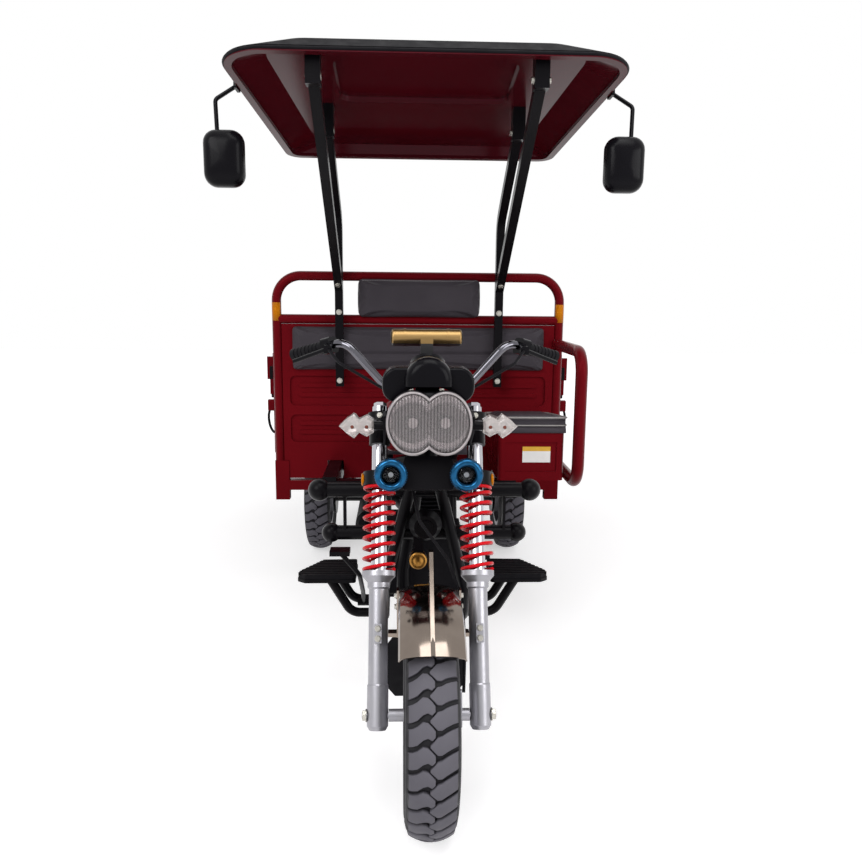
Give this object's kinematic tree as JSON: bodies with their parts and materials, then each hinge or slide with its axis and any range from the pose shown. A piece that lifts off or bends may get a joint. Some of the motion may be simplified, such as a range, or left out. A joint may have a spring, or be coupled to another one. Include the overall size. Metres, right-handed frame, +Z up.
{
  "type": "cargo tricycle",
  "caption": "Motor cargo tricycle: raked sprung fork and finned engine ahead, sloping canopy over the rider, open load bed with drop sides and tailgate behind.",
  "frame": {"origin": "middle of the overall box, on the ground", "axes": "+Z up, -Y forward, +X to the rider's left"},
  "size_m": [1.246, 3.4089, 1.9337],
  "materials": {
    "red_paint": "gloss",
    "black_paint": "gloss",
    "spring_red": "gloss",
    "chrome": "polished",
    "stainless": "polished",
    "alloy": "satin",
    "wheel_paint": "satin",
    "tyre_rubber": "matt",
    "black_rubber": "matt",
    "grey_vinyl": "satin",
    "roof_plastic": "gloss",
    "clear_glass": "clear",
    "red_lens": "gloss",
    "blue_plastic": "gloss",
    "brass_gold": "satin",
    "engine_iron": "satin",
    "black_plastic": "satin"
  },
  "bodies": {
    "chassis": {"main_frame": "black_paint", "horn": "black_paint", "chassis_rails": "black_paint", "cross_members": "black_paint", "leaf_springs": "black_paint", "rear_axle": "black_paint", "drive_shaft": "black_paint", "engine_crankcase": "engine_iron", "engine_cylinder": "engine_iron", "exhaust": "black_paint", "fuel_tank": "red_paint", "driver_seat": "grey_vinyl", "side_box": "red_paint", "side_cushion": "grey_vinyl", "side_guard": "red_paint", "leg_guard": "black_paint", "foot_boards": "black_paint", "foot_pads": "black_rubber", "foot_controls": "black_paint", "bed_floor": "red_paint", "tail_lamps": "red_lens", "headboard_frame": "red_paint", "headboard_panel": "red_paint", "back_pad_lower": "grey_vinyl", "back_pad_upper": "grey_vinyl", "canopy_roof": "roof_plastic", "canopy_posts": "black_paint", "mirrors": "black_plastic"},
    "steering": {"triple_clamps": "black_paint", "fork_stanchions": "chrome", "fork_sliders": "alloy", "fork_springs": "spring_red", "front_axle": "alloy", "front_brake_plate": "alloy", "front_fender": "stainless", "front_mudflap": "black_rubber", "fork_cover": "black_paint", "spot_lamps": "blue_plastic", "headlamp_shell": "chrome", "headlamp_reflector": "chrome", "headlamp_lens": "clear_glass", "headlamp_brackets": "black_paint", "indicators": "clear_glass", "instrument_pod": "black_plastic", "handlebar": "chrome", "grips": "black_rubber", "hand_controls": "black_plastic", "speaker_bar": "brass_gold", "cables": "black_rubber"},
    "front_wheel": {"front_tyre": "tyre_rubber", "front_rim": "wheel_paint"},
    "rear_wheel_left": {"rear_tyre_left": "tyre_rubber", "rear_rim_left": "wheel_paint"},
    "rear_wheel_right": {"rear_tyre_right": "tyre_rubber", "rear_rim_right": "wheel_paint"},
    "side_gate_left": {"side_gate_left": "red_paint"},
    "side_gate_right": {"side_gate_right": "red_paint"},
    "tailgate": {"tailgate": "red_paint"}
  },
  "joints": [
    {"name": "steering", "type": "hinge", "parent": "chassis", "child": "steering", "pos_m": [0, -1.38839, 0.2567], "axis": [0, 0.4067, 0.9135], "range_deg": [-38, 38]},
    {"name": "front_wheel_spin", "type": "hinge", "parent": "steering", "child": "front_wheel", "pos_m": [0, -1.4295, 0.275], "axis": [1, 0, 0], "continuous": true},
    {"name": "rear_wheel_left_spin", "type": "hinge", "parent": "chassis", "child": "rear_wheel_left", "pos_m": [0.471, 0.7005, 0.275], "axis": [1, 0, 0], "continuous": true},
    {"name": "rear_wheel_right_spin", "type": "hinge", "parent": "chassis", "child": "rear_wheel_right", "pos_m": [-0.471, 0.7005, 0.275], "axis": [1, 0, 0], "continuous": true},
    {"name": "side_gate_left_drop", "type": "hinge", "parent": "chassis", "child": "side_gate_left", "pos_m": [0.585, 0.7925, 0.632], "axis": [0, 1, 0], "range_deg": [0, 180]},
    {"name": "side_gate_right_drop", "type": "hinge", "parent": "chassis", "child": "side_gate_right", "pos_m": [-0.585, 0.7925, 0.632], "axis": [0, -1, 0], "range_deg": [0, 180]},
    {"name": "tailgate_drop", "type": "hinge", "parent": "chassis", "child": "tailgate", "pos_m": [0, 1.6955, 0.632], "axis": [-1, 0, 0], "range_deg": [0, 180]}
  ]
}
